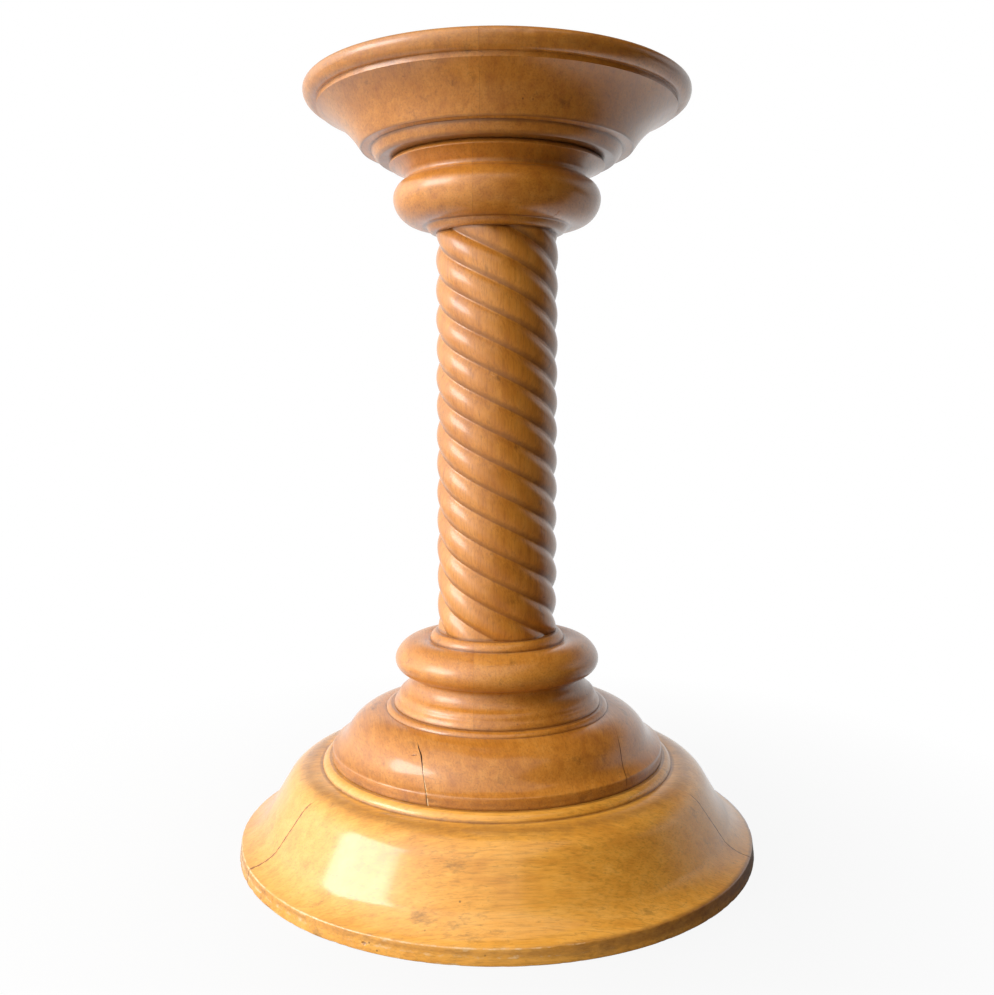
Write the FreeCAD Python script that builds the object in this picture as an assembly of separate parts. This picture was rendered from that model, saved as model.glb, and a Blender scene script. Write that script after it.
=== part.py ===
import FreeCAD, Part
import math
import os

# A turned wooden plant stand: stepped base, rope-twist column between two collars, flared round top.
# Millimetres, +Z up, origin on the axis at the underside of the base, front towards -Y.

# Rope-twist column between its shoulders
shaft_radius = 49.1
shaft_length = 322.0
reed_count = 6
reed_depth = 3.8
twist_lead = 140.0
twist_start = -1.9

# Round tenons turned on both ends of the column
tenon_radius = 27.5
step_socket_depth = 30.0
cap_socket_depth = 28.0
tenon_clearance = 0.1
tenon_end_gap = 1.0

# Lower collar, from the column's seat outwards and from its foot upwards
seat_margin = 1.4
lower_ring_width = 5.1
lower_ring_height = 7.1
lower_ring_swell = 1.3
lower_ring_quirk = 0.3
lower_ledge = 2.7
lower_roll_width = 24.5
lower_roll_rise = 10.7
lower_roll_top_swell = 4.9
lower_roll_drop = 15.8
lower_roll_under_swell = 6.3
lower_roll_overhang = 12.6
cove_width = 11.9
cove_height = 18.3
cove_hollow = 4.0
foot_height = 9.9
foot_swell = 0.5

# Step, the second tier of the base
step_bead_margin = 1.9
step_bead_width = 7.0
step_bead_height = 3.7
step_bead_swell = 1.2
step_quirk = 0.5
ovolo_width = 38.5
ovolo_height = 30.9
ovolo_swell = 9.6
step_face_slope = 2.6
step_face_height = 8.9

# Base, the first tier
base_bead_margin = 1.9
base_bead_width = 7.4
base_bead_height = 4.0
base_bead_swell = 1.5
base_quirk = 0.4
shoulder_ledge = 7.8
shoulder_width = 30.8
shoulder_height = 27.1
shoulder_swell = 7.2
skirt_width = 30.2
skirt_height = 29.3
skirt_hollow = 6.6
band_slope = 1.5
band_height = 11.5

# Upper collar, from the column upwards
upper_ring_width = 6.0
upper_ring_height = 5.0
upper_ring_swell = 1.2
upper_quirk_width = 1.7
upper_quirk = 0.9
upper_roll_width = 24.3
upper_roll_rise = 16.6
upper_roll_under_swell = 5.8
crease_depth = 12.8
crease_height = 21.0
upper_roll_top_swell = 4.7
lip_flare = 16.5
lip_flare_height = 8.3
lip_hollow = 1.0
lip_set_back = 3.2
lip_height = 4.2
lip_swell = 0.5

# Flared top
soffit_width = 10.8
cap_ring_width = 6.5
cap_ring_height = 8.5
cap_ring_swell = 0.8
cap_ledge_width = 7.9
cap_ledge_rise = 0.4
cap_arris_width = 2.6
cap_arris_height = 3.4
flare_width = 31.1
flare_height = 25.8
flare_hollow = 3.1
cap_fillet_height = 3.7
rim_width = 10.0
rim_height = 10.0
rim_swell = 4.2
rim_edge_width = 7.0
rim_edge_height = 4.2
rim_edge_swell = 1.0

# Glued boards: width of each middle board, place of each joint and turn of the grain about the axis
base_board_width = 167.0
base_grain_turn = 3.2
step_board_width = 154.0
step_board_shift = 4.0
step_grain_turn = 10.0
collar_joint_shift = -18.0
cap_joint_shift = -12.0

# Dowels
dowel_clearance = 0.05
dowel_end_gap = 1.0
dowel_chamfer = 1.0
base_dowel_radius = 6.0
base_dowel_length = 60.0
base_dowel_spread = 200.0
base_dowel_height = 30.0
step_dowel_radius = 5.0
step_dowel_length = 50.0
step_dowel_spread = 100.0
step_dowel_height = 16.0
collar_dowel_radius = 4.0
collar_dowel_length = 36.0
lower_collar_dowel_height = 33.0
upper_collar_dowel_height = 18.0
cap_dowel_radius = 5.0
cap_dowel_length = 60.0
cap_dowel_spread = 170.0
cap_dowel_height = 36.0
upright_dowel_radius = 5.0
upright_dowel_length = 40.0
upright_dowel_count = 4
upright_dowel_turn = 45.0

# Screws put in from under the base
screw_clearance = 0.05
coach_shank_radius = 6.0
coach_grip = 55.0
coach_point_height = 12.0
coach_head_width = 19.0
coach_head_height = 8.0
washer_radius = 20.0
washer_thickness = 3.0
washer_gap = 0.5
coach_recess_depth = 25.0
coach_recess_margin = 2.0
tier_screw_spread = 50.0
tier_screw_joint_margin = 10.0
tier_screw_middle_spread = 180.0
tier_screw_radius = 2.5
tier_screw_grip = 27.0
tier_screw_point_height = 5.0
tier_screw_head_radius = 5.0
tier_screw_head_height = 3.0
tier_screw_crown_radius = 2.5
tier_screw_crown_swell = 0.6
tier_screw_recess_depth = 28.0
tier_screw_recess_margin = 1.0

# Levels on the axis
base_height = band_height + skirt_height + shoulder_height - base_quirk + base_bead_height
step_height = step_face_height + ovolo_height - step_quirk + step_bead_height
lower_collar_height = (foot_height + cove_height + lower_roll_drop + lower_roll_rise
                       - lower_ring_quirk + lower_ring_height)
upper_collar_height = (upper_ring_height + upper_quirk + upper_roll_rise + crease_height
                       + lip_flare_height + lip_height)
cap_height = (cap_ring_height + cap_ledge_rise + cap_arris_height + flare_height
              + cap_fillet_height + rim_height + rim_edge_height)
step_level = base_height
lower_collar_level = step_level + step_height
shaft_level = lower_collar_level + lower_collar_height
upper_collar_level = shaft_level + shaft_length
cap_level = upper_collar_level + upper_collar_height
stand_height = cap_level + cap_height

# Radii that follow from the widths above
seat_radius = shaft_radius + seat_margin
lower_ring_radius = seat_radius + lower_ring_width
lower_roll_top_radius = lower_ring_radius + lower_ledge
lower_roll_radius = lower_roll_top_radius + lower_roll_width
cove_radius = lower_roll_radius - lower_roll_overhang
foot_radius = cove_radius + cove_width
step_bead_radius = foot_radius + step_bead_margin
ovolo_top_radius = step_bead_radius + step_bead_width
ovolo_radius = ovolo_top_radius + ovolo_width
step_radius = ovolo_radius + step_face_slope
base_bead_radius = step_radius + base_bead_margin
base_bead_foot_radius = base_bead_radius + base_bead_width
shoulder_top_radius = base_bead_foot_radius + shoulder_ledge
shoulder_radius = shoulder_top_radius + shoulder_width
band_radius = shoulder_radius + skirt_width
base_radius = band_radius + band_slope
upper_ring_radius = seat_radius + upper_ring_width
upper_roll_foot_radius = upper_ring_radius + upper_quirk_width
upper_roll_radius = upper_roll_foot_radius + upper_roll_width
crease_radius = upper_roll_radius - crease_depth
lip_radius = crease_radius + lip_flare
lip_top_radius = lip_radius - lip_set_back
soffit_radius = lip_top_radius + soffit_width
cap_ring_radius = soffit_radius + cap_ring_width
cap_ledge_radius = cap_ring_radius + cap_ledge_width
flare_foot_radius = cap_ledge_radius + cap_arris_width
flare_radius = flare_foot_radius + flare_width
rim_radius = flare_radius + rim_width
top_radius = rim_radius - rim_edge_width

# Sizes shared by holes and what goes into them
bore_radius = tenon_radius + tenon_clearance
lower_wall_radius = (bore_radius + cove_radius) / 2
upper_wall_radius = (bore_radius + crease_radius) / 2
lower_tenon_length = lower_collar_height + step_socket_depth
upper_tenon_length = upper_collar_height + cap_socket_depth
lower_tenon_level = shaft_level - lower_tenon_length
coach_seat_level = coach_recess_depth
coach_recess_radius = washer_radius + coach_recess_margin
tier_recess_radius = tier_screw_head_radius + tier_screw_recess_margin
base_turn = 90 + base_grain_turn
far = 2 * base_radius

axis_point = FreeCAD.Vector(0, 0, 0)
up = FreeCAD.Vector(0, 0, 1)


def polar(radius, angle, height):
    # The point at a radius and an angle about the axis
    turn = math.radians(angle)
    return FreeCAD.Vector(radius * math.cos(turn), radius * math.sin(turn), height)


def curve(start, end, swell):
    # A straight run, or an arc whose middle stands off the chord: outwards, or inwards for a hollow
    if swell == 0:
        return Part.makeLine(start, end)
    chord = end - start
    outward = FreeCAD.Vector(chord.z, 0, -chord.x).normalize()
    middle = (start + end) * 0.5 + outward * swell
    return Part.Arc(start, middle, end).toShape()


def turned(outline, level=0.0):
    # A solid turned about the axis. Each outline point is a radius, a rise and the swell that leads to it
    points = []
    height = level
    for radius, rise, swell in outline:
        height += rise
        points.append(FreeCAD.Vector(radius, 0, height))
    bottom = FreeCAD.Vector(0, 0, points[0].z)
    top = FreeCAD.Vector(0, 0, points[-1].z)
    edges = [Part.makeLine(bottom, points[0])]
    for start, end, corner in zip(points, points[1:], outline[1:]):
        edges.append(curve(start, end, corner[2]))
    if points[-1].x > 0:
        edges.append(Part.makeLine(points[-1], top))
    edges.append(Part.makeLine(top, bottom))
    face = Part.Face(Part.Wire(edges))
    return face.revolve(axis_point, up, 360)


def slab(low, high, turn):
    # An upright slice of space across the whole stand, between two distances from the axis
    box = Part.makeBox(high - low, 2 * far, stand_height + 2 * far, FreeCAD.Vector(low, -far, -far))
    box.rotate(axis_point, up, turn)
    return box


def boards(blank, joints, turn):
    # The blank sawn along its glue joints
    edges = [-far] + joints + [far]
    return [blank.common(slab(low, high, turn)) for low, high in zip(edges, edges[1:])]


def dowel(radius, length):
    # A dowel with chamfered ends, upright, standing on the origin
    flank = length - 2 * dowel_chamfer
    return turned([
        (radius - dowel_chamfer, 0, 0),
        (radius, dowel_chamfer, 0),
        (radius, flank, 0),
        (radius - dowel_chamfer, dowel_chamfer, 0),
    ])


def dowel_hole(radius, length):
    # The hole for such a dowel, with room round it and at both ends
    depth = length + 2 * dowel_end_gap
    return Part.makeCylinder(radius + dowel_clearance, depth, FreeCAD.Vector(0, 0, -dowel_end_gap))


def across_joint(shape, length, joint, along, level, turn):
    # Lays an upright shape square across a glue joint, half of its length on each side
    laid = shape.copy()
    laid.rotate(axis_point, FreeCAD.Vector(0, 1, 0), 90)
    laid.translate(FreeCAD.Vector(joint - length / 2, along, level))
    laid.rotate(axis_point, up, turn)
    return laid


def edge_set(radius, length, joints, places, level, turn):
    # The dowels across a set of joints and the holes that take them
    pins = []
    holes = []
    for joint in joints:
        for along in places:
            pins.append(across_joint(dowel(radius, length), length, joint, along, level, turn))
            holes.append(across_joint(dowel_hole(radius, length), length, joint, along, level, turn))
    return pins, holes


def upright_set(circle, level):
    # Upright dowels in a ring through a level joint, half above and half below it, and their holes
    pins = []
    holes = []
    for index in range(upright_dowel_count):
        angle = upright_dowel_turn + 360.0 / upright_dowel_count * index
        foot = polar(circle, angle, level - upright_dowel_length / 2)
        pins.append(dowel(upright_dowel_radius, upright_dowel_length).translated(foot))
        holes.append(dowel_hole(upright_dowel_radius, upright_dowel_length).translated(foot))
    return pins, holes


def base_blank():
    # Edge band, hollow skirt, rounded shoulder, ledge and bead
    return turned([
        (base_radius, 0, 0),
        (band_radius, band_height, 0),
        (shoulder_radius, skirt_height, -skirt_hollow),
        (shoulder_top_radius, shoulder_height, shoulder_swell),
        (base_bead_foot_radius, -base_quirk, 0),
        (base_bead_radius, base_bead_height, base_bead_swell),
    ])


def step_blank():
    # Short sloping face, quarter-round and bead
    return turned([
        (step_radius, 0, 0),
        (ovolo_radius, step_face_height, 0),
        (ovolo_top_radius, ovolo_height, ovolo_swell),
        (ovolo_top_radius, -step_quirk, 0),
        (step_bead_radius, step_bead_height, step_bead_swell),
    ], step_level)


def lower_collar_blank():
    # Foot, hollow, roll, ledge and the ring round the column's seat
    return turned([
        (foot_radius, 0, 0),
        (foot_radius, foot_height, foot_swell),
        (cove_radius, cove_height, -cove_hollow),
        (lower_roll_radius, lower_roll_drop, lower_roll_under_swell),
        (lower_roll_top_radius, lower_roll_rise, lower_roll_top_swell),
        (lower_ring_radius, -lower_ring_quirk, 0),
        (seat_radius, lower_ring_height, lower_ring_swell),
    ], lower_collar_level)


def upper_collar_blank():
    # Ring round the column's head, roll, crease, flared hollow and lip
    return turned([
        (seat_radius, 0, 0),
        (upper_ring_radius, upper_ring_height, upper_ring_swell),
        (upper_roll_foot_radius, upper_quirk, 0),
        (upper_roll_radius, upper_roll_rise, upper_roll_under_swell),
        (crease_radius, crease_height, upper_roll_top_swell),
        (lip_radius, lip_flare_height, -lip_hollow),
        (lip_top_radius, lip_height, lip_swell),
    ], upper_collar_level)


def cap_blank():
    # Soffit, ring, ledge, hollow flare, narrow fillet and rounded rim under a flat top
    return turned([
        (soffit_radius, 0, 0),
        (cap_ring_radius, cap_ring_height, cap_ring_swell),
        (cap_ledge_radius, cap_ledge_rise, 0),
        (flare_foot_radius, cap_arris_height, 0),
        (flare_radius, flare_height, -flare_hollow),
        (flare_radius, cap_fillet_height, 0),
        (rim_radius, rim_height, rim_swell),
        (top_radius, rim_edge_height, rim_edge_swell),
    ], cap_level)


def reeded_section():
    # The column's cross section: one convex arc for each reed, meeting in sharp grooves
    groove_radius = shaft_radius - reed_depth
    pitch = 360.0 / reed_count
    arcs = []
    for index in range(reed_count):
        crest_angle = twist_start + pitch * index
        corners = []
        for radius, turn in ((groove_radius, -0.5), (shaft_radius, 0.0), (groove_radius, 0.5)):
            corners.append(polar(radius, crest_angle + pitch * turn, shaft_level))
        arcs.append(Part.Arc(*corners).toShape())
    return Part.Wire(arcs)


def twist_shaft():
    # The reeded section swept up the axis while a left-handed helix turns it, with a tenon at each end
    foot = FreeCAD.Vector(0, 0, shaft_level)
    head = FreeCAD.Vector(0, 0, upper_collar_level)
    helix = Part.makeHelix(twist_lead, shaft_length, shaft_radius, 0, True)
    helix.translate(foot)
    sweep = Part.BRepOffsetAPI.MakePipeShell(Part.Wire([Part.makeLine(foot, head)]))
    sweep.setAuxiliarySpine(Part.Wire(helix.Edges), True, 0)
    sweep.add(reeded_section())
    sweep.build()
    sweep.makeSolid()
    lower_tenon = Part.makeCylinder(tenon_radius, lower_tenon_length,
                                    FreeCAD.Vector(0, 0, lower_tenon_level))
    upper_tenon = Part.makeCylinder(tenon_radius, upper_tenon_length, head)
    return sweep.shape().fuse([lower_tenon, upper_tenon]).removeSplitter()


def tenon_room():
    # The bores and sockets that take the column's tenons
    length = upper_tenon_length + lower_tenon_length + shaft_length + 2 * tenon_end_gap
    return Part.makeCylinder(bore_radius, length, FreeCAD.Vector(0, 0, lower_tenon_level - tenon_end_gap))


def coach_screw():
    # Hexagon head, plain shank and point
    head_level = coach_seat_level - washer_thickness - coach_head_height
    shank_length = lower_tenon_level + coach_grip - coach_point_height - head_level - coach_head_height
    corner_radius = coach_head_width / math.sqrt(3)
    corners = [polar(corner_radius, 60 * index, head_level) for index in range(7)]
    head = Part.Face(Part.makePolygon(corners)).extrude(up * coach_head_height)
    shank = turned([
        (coach_shank_radius, 0, 0),
        (coach_shank_radius, shank_length, 0),
        (0, coach_point_height, 0),
    ], head_level + coach_head_height)
    return head.fuse(shank).removeSplitter()


def coach_washer():
    # Flat ring between the coach screw's head and the wood
    level = FreeCAD.Vector(0, 0, coach_seat_level - washer_thickness)
    disc = Part.makeCylinder(washer_radius, washer_thickness, level)
    return disc.cut(Part.makeCylinder(coach_shank_radius + washer_gap, washer_thickness, level))


def coach_room():
    # Recess for the head and washer, and the hole up into the tenon
    recess = Part.makeCylinder(coach_recess_radius, coach_recess_depth)
    hole = Part.makeCylinder(coach_shank_radius + screw_clearance, lower_tenon_level + coach_grip)
    return recess.fuse(hole)


def tier_screw():
    # Round head, shank and point, with the seat under its head at its own recess depth
    shank_length = base_height + tier_screw_grip - tier_screw_recess_depth - tier_screw_point_height
    return turned([
        (tier_screw_crown_radius, 0, 0),
        (tier_screw_head_radius, tier_screw_head_height, tier_screw_crown_swell),
        (tier_screw_radius, 0, 0),
        (tier_screw_radius, shank_length, 0),
        (0, tier_screw_point_height, 0),
    ], tier_screw_recess_depth - tier_screw_head_height)


def tier_screw_places():
    # Two screws on the middle board's centre line and two beside each joint, in the outer boards
    row = base_board_width / 2 + tier_screw_joint_margin
    places = [(0, -tier_screw_middle_spread / 2), (0, tier_screw_middle_spread / 2)]
    for across in (-row, row):
        for along in (-tier_screw_spread / 2, tier_screw_spread / 2):
            places.append((across, along))
    return places


def at_tier_screws(shape):
    # A copy of an upright shape at each tier screw
    copies = []
    for across, along in tier_screw_places():
        copy = shape.copy()
        copy.translate(FreeCAD.Vector(across, along, 0))
        copy.rotate(axis_point, up, base_turn)
        copies.append(copy)
    return copies


def tier_screw_hole():
    # Recess for the head and the hole for the shank
    recess = Part.makeCylinder(tier_recess_radius, tier_screw_recess_depth)
    hole = Part.makeCylinder(tier_screw_radius + screw_clearance, base_height + tier_screw_grip)
    return recess.fuse(hole)


def build():
    base_joints = [-base_board_width / 2, base_board_width / 2]
    step_joints = [step_board_shift - step_board_width / 2, step_board_shift + step_board_width / 2]
    base_places = [-base_dowel_spread / 2, base_dowel_spread / 2]
    step_places = [-step_dowel_spread / 2, step_dowel_spread / 2]
    cap_places = [-cap_dowel_spread / 2, cap_dowel_spread / 2]
    lower_places = [-lower_wall_radius, lower_wall_radius]
    upper_places = [-upper_wall_radius, upper_wall_radius]

    base_pins, base_holes = edge_set(
        base_dowel_radius, base_dowel_length, base_joints, base_places, base_dowel_height, base_turn)
    step_pins, step_holes = edge_set(
        step_dowel_radius, step_dowel_length, step_joints, step_places,
        step_level + step_dowel_height, step_grain_turn)
    lower_pins, lower_holes = edge_set(
        collar_dowel_radius, collar_dowel_length, [collar_joint_shift], lower_places,
        lower_collar_level + lower_collar_dowel_height, 0)
    upper_pins, upper_holes = edge_set(
        collar_dowel_radius, collar_dowel_length, [collar_joint_shift], upper_places,
        upper_collar_level + upper_collar_dowel_height, 0)
    cap_pins, cap_holes = edge_set(
        cap_dowel_radius, cap_dowel_length, [cap_joint_shift], cap_places, cap_level + cap_dowel_height, 0)
    foot_pins, foot_holes = upright_set(lower_wall_radius, lower_collar_level)
    head_pins, head_holes = upright_set(upper_wall_radius, cap_level)
    screws = at_tier_screws(tier_screw())
    screw_holes = at_tier_screws(tier_screw_hole())

    tenons = [tenon_room()]
    coach = [coach_room()]
    base = base_blank().cut(base_holes + screw_holes + coach)
    step = step_blank().cut(step_holes + foot_holes + screw_holes + coach + tenons)
    lower = lower_collar_blank().cut(lower_holes + foot_holes + tenons)
    upper = upper_collar_blank().cut(upper_holes + head_holes + tenons)
    cap = cap_blank().cut(cap_holes + head_holes + tenons)

    front, middle, back = boards(base, base_joints, base_turn)
    step_left, step_middle, step_right = boards(step, step_joints, step_grain_turn)
    lower_left, lower_right = boards(lower, [collar_joint_shift], 0)
    upper_left, upper_right = boards(upper, [collar_joint_shift], 0)
    cap_left, cap_right = boards(cap, [cap_joint_shift], 0)
    return {
        "base_board_front": front,
        "base_board_middle": middle,
        "base_board_back": back,
        "step_board_left": step_left,
        "step_board_middle": step_middle,
        "step_board_right": step_right,
        "lower_collar_left": lower_left,
        "lower_collar_right": lower_right,
        "twist_shaft": twist_shaft().cut(coach),
        "upper_collar_left": upper_left,
        "upper_collar_right": upper_right,
        "cap_board_left": cap_left,
        "cap_board_right": cap_right,
        "base_edge_dowels": Part.makeCompound(base_pins),
        "step_edge_dowels": Part.makeCompound(step_pins),
        "lower_collar_edge_dowels": Part.makeCompound(lower_pins),
        "upper_collar_edge_dowels": Part.makeCompound(upper_pins),
        "cap_edge_dowels": Part.makeCompound(cap_pins),
        "collar_foot_dowels": Part.makeCompound(foot_pins),
        "cap_dowels": Part.makeCompound(head_pins),
        "coach_screw": coach_screw(),
        "coach_washer": coach_washer(),
        "tier_screws": Part.makeCompound(screws),
    }


os.makedirs("parts", exist_ok=True)
for node, shape in build().items():
    shape.exportStep("parts/" + node + ".step")
    print(node, len(shape.Solids), "solids", round(shape.Volume / 1000, 1), "cm3", shape.isValid())
print("stand", round(stand_height, 1), "high", round(2 * base_radius, 1), "wide at the base")
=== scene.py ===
import math

import bmesh
import bpy
from mathutils import Matrix, Vector, geometry, noise


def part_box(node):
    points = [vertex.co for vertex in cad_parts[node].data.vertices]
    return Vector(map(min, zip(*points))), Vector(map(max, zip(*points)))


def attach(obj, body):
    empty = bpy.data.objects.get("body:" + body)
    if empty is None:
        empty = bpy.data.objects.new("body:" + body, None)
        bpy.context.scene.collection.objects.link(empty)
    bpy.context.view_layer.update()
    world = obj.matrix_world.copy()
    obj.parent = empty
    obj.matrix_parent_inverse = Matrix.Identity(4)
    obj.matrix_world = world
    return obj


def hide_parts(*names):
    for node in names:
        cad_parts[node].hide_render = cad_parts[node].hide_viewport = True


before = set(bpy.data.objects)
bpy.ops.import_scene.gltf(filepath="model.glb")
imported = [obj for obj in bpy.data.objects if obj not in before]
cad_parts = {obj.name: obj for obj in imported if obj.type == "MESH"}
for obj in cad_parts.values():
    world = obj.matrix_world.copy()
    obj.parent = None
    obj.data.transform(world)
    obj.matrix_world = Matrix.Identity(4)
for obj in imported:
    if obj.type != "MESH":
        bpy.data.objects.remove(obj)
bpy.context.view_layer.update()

mm = 0.001
body = "root"
print("frame loaded:", len(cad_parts), "nodes")


# outlines and turned shapes


def drawRun(bm, vert, radius, height, swell, spacing):
    # one run of an outline: a straight edge, or the vertex spun through an arc
    end = Vector((radius, 0, height))
    chord = end - vert.co
    half = chord.length / 2
    if swell:
        arcRadius = (half * half + swell * swell) / (2 * swell)
        outward = Vector((chord.z, 0, -chord.x)).normalized()
        centre = (vert.co + end) / 2 + outward * (swell - arcRadius)
        turn = 4 * math.atan(swell / half)
        steps = max(5, round(abs(arcRadius * turn) / spacing))
        made = bmesh.ops.spin(bm, geom=[vert], cent=centre, axis=(0, -1, 0), angle=turn, steps=steps)
        return [item for item in made["geom_last"] if isinstance(item, bmesh.types.BMVert)][0]
    start = vert.co.copy()
    if chord.z == 0:
        spacing *= 12  # flat discs need few rings
    steps = max(1, round(chord.length / spacing))
    for step in range(steps):
        vert = bmesh.ops.extrude_vert_indiv(bm, verts=[vert])["verts"][0]
        vert.co = start + chord * (step + 1) / steps
    return vert


def turnOutline(outline, level, around, spacing):
    # points of the outline are radius, height above the level and swell, in mm
    bm = bmesh.new()
    radius, height, swell = outline[0]
    vert = bm.verts.new((radius * mm, 0, level + height * mm))
    for radius, height, swell in outline[1:]:
        vert = drawRun(bm, vert, radius * mm, level + height * mm, swell * mm, spacing * mm)
    # one wedge of the turning, then doubled until it goes all the way round
    doublings = 4
    wedge = math.tau / 2 ** doublings
    bmesh.ops.spin(bm, geom=bm.verts[:] + bm.edges[:], cent=(0, 0, 0), axis=(0, 0, 1),
                   angle=wedge, steps=around // 2 ** doublings)
    for doubling in range(doublings):
        made = bmesh.ops.duplicate(bm, geom=bm.verts[:] + bm.edges[:] + bm.faces[:])
        copied = [item for item in made["geom"] if isinstance(item, bmesh.types.BMVert)]
        turn = Matrix.Rotation(wedge * 2 ** doubling, 3, "Z")
        bmesh.ops.rotate(bm, verts=copied, cent=(0, 0, 0), matrix=turn)
    bmesh.ops.remove_doubles(bm, verts=bm.verts, dist=1e-6)
    bmesh.ops.recalc_face_normals(bm, faces=bm.faces)
    return bm


def radiusOf(vert):
    return math.hypot(vert.co.x, vert.co.y)


def softenArrises(bm, arrises, level):
    # rounds the turned corners a little, as sanding and varnish leave them
    near = 0.02 * mm
    for radius, height, width in arrises:
        ring = []
        for edge in bm.edges:
            if all(abs(radiusOf(v) - radius * mm) < near and abs(v.co.z - level - height * mm) < near
                   for v in edge.verts):
                ring.append(edge)
        bmesh.ops.bevel(bm, geom=ring, offset=width * mm, offset_type="OFFSET", affect="EDGES",
                        segments=3, profile=0.5, material=-1)


def nearMarks(vert, marks, level):
    # full on a marked circle, falling to 0 at its reach; marks are radius, height, reach and strength
    radius = radiusOf(vert)
    best = 0.0
    for markRadius, markHeight, reach, strength in marks:
        away = math.hypot(radius - markRadius * mm, vert.co.z - level - markHeight * mm)
        best = max(best, strength * (1 - away / (reach * mm)))
    return best


def ageSurface(bm, tier, level):
    # slow waves of hand turning and knocks on the worn corners
    # also marks the dark rings, which are grime in joints and painted shade in creases and under
    # overhangs, and where the finish is rubbed off
    knockStart = 0.18
    grimeAndShadeLayer = bm.verts.layers.float.new("grimeAndShade")
    wearAndHighlightLayer = bm.verts.layers.float.new("wearAndHighlight")
    for vert in bm.verts:
        radius = radiusOf(vert)
        grimeAndShade = nearMarks(vert, tier["grooves"], level)
        wearAndHighlight = nearMarks(vert, tier["wornAndHighlight"], level)
        if radius > tier["stillRadius"] * mm:
            # painted shade: towards the right, away from the window, the pale wear is cut back and
            # darkened
            right = max(0.0, vert.co.x / radius)
            grimeAndShade += tier["paintedShadeRight"] * right * wearAndHighlight
            wearAndHighlight *= 1 - tier["wearPaintedShadeRight"] * right
        vert[grimeAndShadeLayer] = grimeAndShade
        vert[wearAndHighlightLayer] = wearAndHighlight
        move = noise.noise(vert.co * tier["waveScale"]) * tier["waveDepth"]
        if wearAndHighlight > 0:
            knock = max(0.0, noise.noise(vert.co * tier["knockScale"]) - knockStart)
            move -= knock * wearAndHighlight * tier["knockDepth"]
        if radius > tier["stillRadius"] * mm:
            vert.co.x *= 1 + move * mm / radius
            vert.co.y *= 1 + move * mm / radius


crackShape = {
    "margin": 1.4, "cuttings": 2,
    "fullWidth": 1.15, "widestAt": 0.45, "taper": 1.3, "raggedScale": 900, "raggedness": 0.5,
    "grime": 1.25,
}


def openCheck(bm, check):
    # a drying check or a dent: the surface along a short line is cut finer and pressed in
    start, end = [Vector(point) * mm for point in check["ends"]]

    def place(point):
        part = min(1.0, max(0.0, geometry.intersect_point_line(point, start, end)[1]))
        return (point - start.lerp(end, part)).length / mm, part

    reach = check["width"] + crackShape["margin"]
    for cutting in range(crackShape["cuttings"]):
        near = [e for e in bm.edges if place((e.verts[0].co + e.verts[1].co) / 2)[0] < reach]
        bmesh.ops.subdivide_edges(bm, edges=near, cuts=2, use_grid_fill=True)
    bm.normal_update()
    grimeAndShadeLayer = bm.verts.layers.float["grimeAndShade"]
    for vert in bm.verts:
        away, part = place(vert.co)
        ragged = noise.noise(vert.co * crackShape["raggedScale"]) * crackShape["raggedness"]
        taper = abs(part - crackShape["widestAt"]) * crackShape["taper"]
        width = check["width"] * (crackShape["fullWidth"] - taper + ragged)
        if away < width:
            vert.co -= vert.normal * (1 - away / width) * check["depth"] * mm
            vert[grimeAndShadeLayer] = max(vert[grimeAndShadeLayer], crackShape["grime"] - away / width)


def boreRecesses(bm, recesses, turn, level):
    # opens the underside for the screws
    axle = Matrix.Rotation(math.radians(turn), 4, "Z")
    firstTurn, mouthSegments = 1.3, 48
    under = [f for f in bm.faces if all(abs(v.co.z - level) < 1e-6 for v in f.verts)]
    bmesh.ops.delete(bm, geom=under, context="FACES")
    rim = [e for e in bm.edges if e.is_boundary]
    mouths = []
    for index, (across, along, radius, depth) in enumerate(recesses):
        spot = axle @ Matrix.Translation((across * mm, along * mm, level))
        # each mouth is turned, which keeps the corners off one line for the fill
        spot = spot @ Matrix.Rotation(firstTurn + index, 4, "Z")
        made = bmesh.ops.create_circle(bm, cap_ends=False, radius=radius * mm, segments=mouthSegments,
                                       matrix=spot)
        mouths.append(list({e for v in made["verts"] for e in v.link_edges}))
    everyMouth = [e for mouth in mouths for e in mouth]
    bmesh.ops.triangle_fill(bm, edges=rim + everyMouth, use_beauty=True, normal=(0, 0, -1))
    for mouth, (across, along, radius, depth) in zip(mouths, recesses):
        made = bmesh.ops.extrude_edge_only(bm, edges=mouth)["geom"]
        bottom = [item for item in made if isinstance(item, bmesh.types.BMEdge)]
        bmesh.ops.translate(bm, verts=list({v for e in bottom for v in e.verts}), vec=(0, 0, depth * mm))
        bmesh.ops.edgeloop_fill(bm, edges=bottom)
    bmesh.ops.recalc_face_normals(bm, faces=bm.faces)


def atHeight(path, height):
    # shift and gap of a joint at a height, between the rows of its path
    for low, high in zip(path, path[1:]):
        if height <= high[0]:
            part = max(0.0, (height - low[0]) / (high[0] - low[0]))
            return low[1] + (high[1] - low[1]) * part, low[2] + (high[2] - low[2]) * part
    return path[-1][1], path[-1][2]


openJoint = {"chippedWear": 1.8, "fullGrimeGap": 0.4, "cleanHeight": 0.1}


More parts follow.
